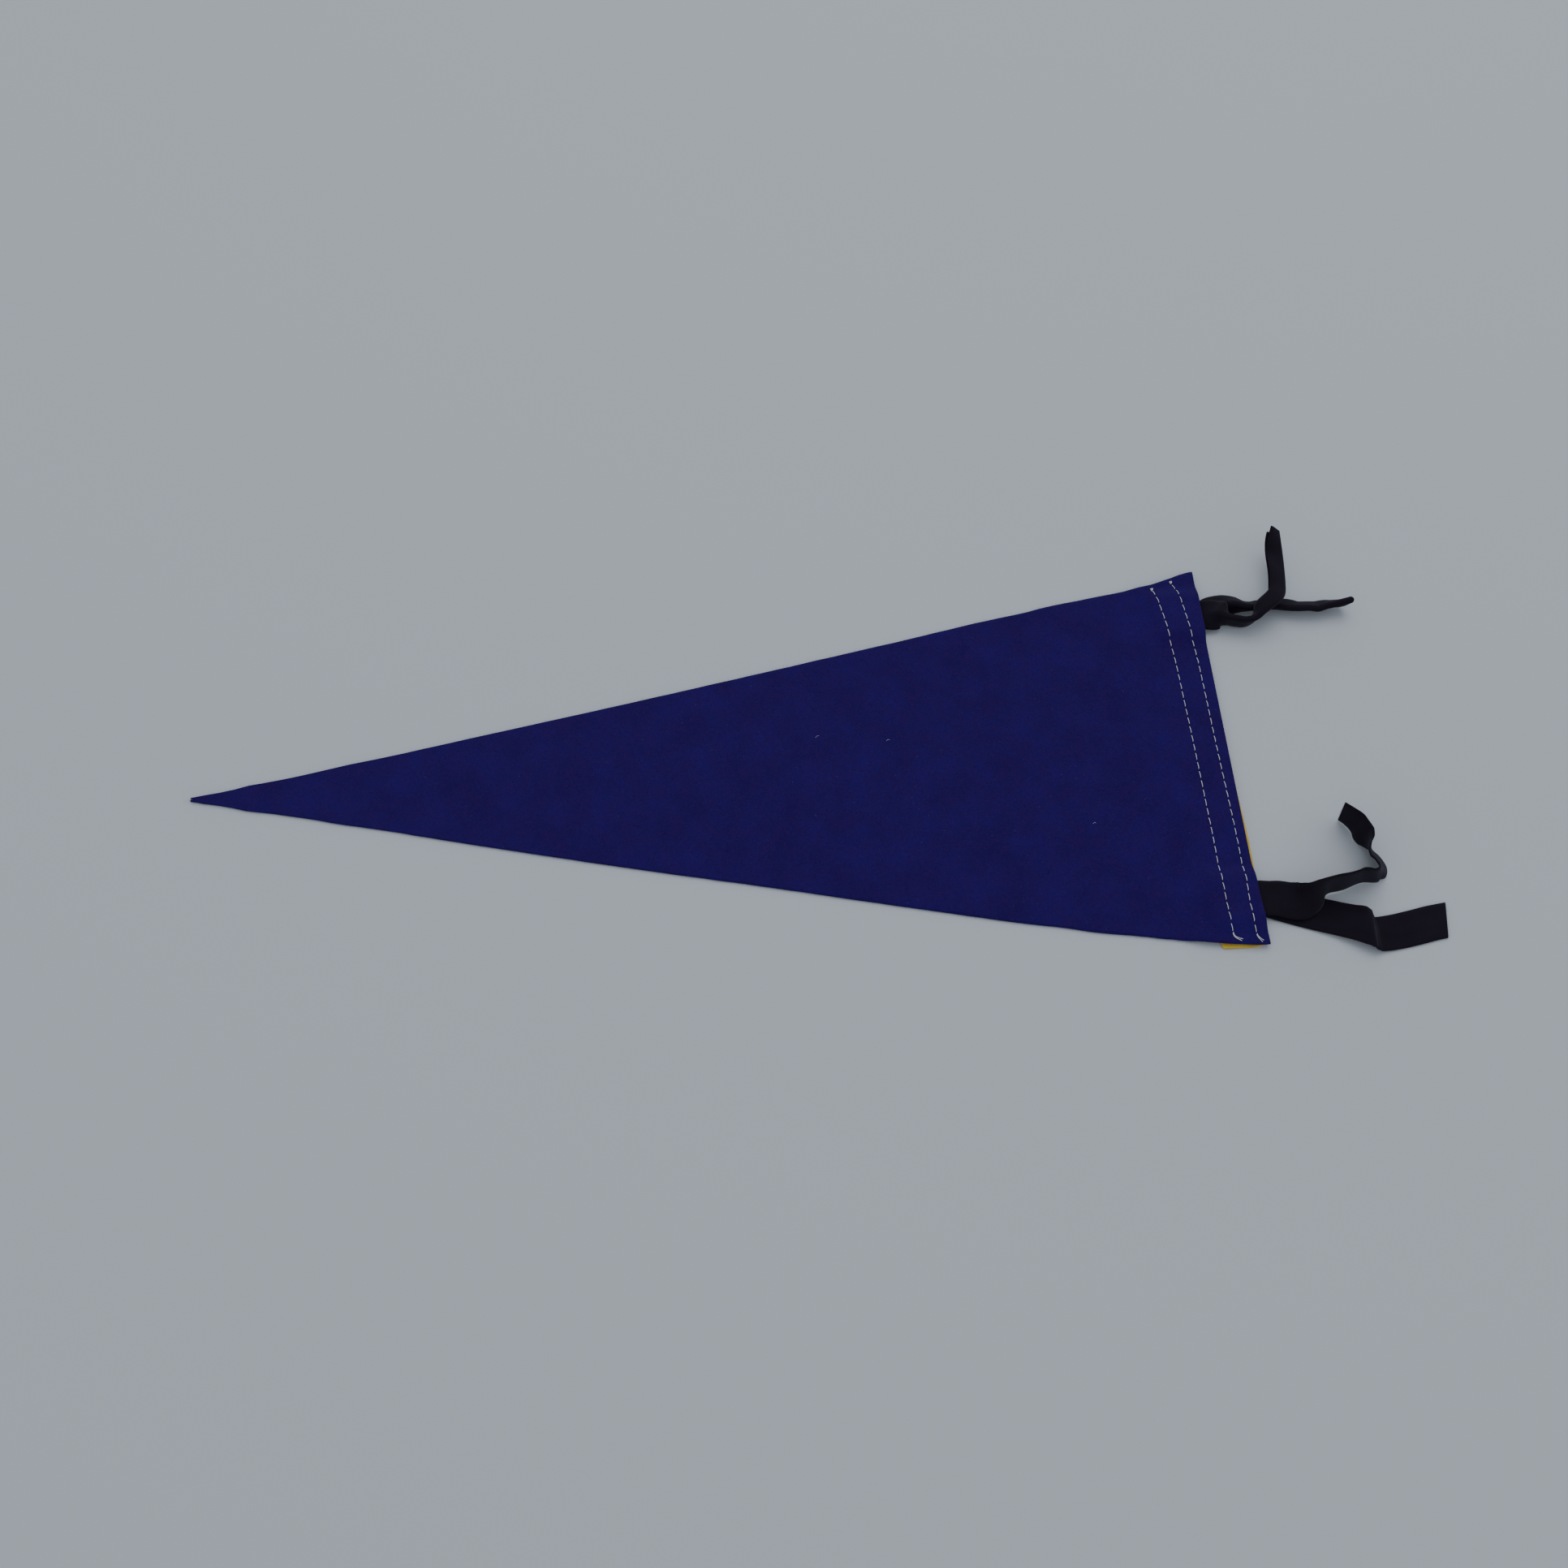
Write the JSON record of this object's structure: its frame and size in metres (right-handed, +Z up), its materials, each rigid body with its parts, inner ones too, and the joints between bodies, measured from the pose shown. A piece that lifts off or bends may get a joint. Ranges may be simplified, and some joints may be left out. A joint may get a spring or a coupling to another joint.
{
  "type": "felt pennant flag with tape ties",
  "caption": "Long tapering felt pennant lying flat, with a stitched heading strip under its wide end and narrow tape ties whose free ends lie loose beside it.",
  "frame": {"origin": "middle of the whole part's outline, on the plane that the cloth lies on", "axes": "+X along the pennant from its tip toward its wide end, +Y across it toward the upper tie, +Z up from the surface"},
  "size_m": [0.5206, 0.202, 0.0172],
  "materials": {
    "blue_felt": "matt pressed felt, faintly mottled, with raw cut edges",
    "yellow_felt": "matt pressed felt",
    "black_tape": "matt woven twill tape with firm selvedges and cut ends"
  },
  "bodies": {
    "root": {"cloth": "blue_felt", "heading_strip": "yellow_felt", "upper_tie": "black_tape", "lower_tie": "black_tape"}
  },
  "joints": []
}
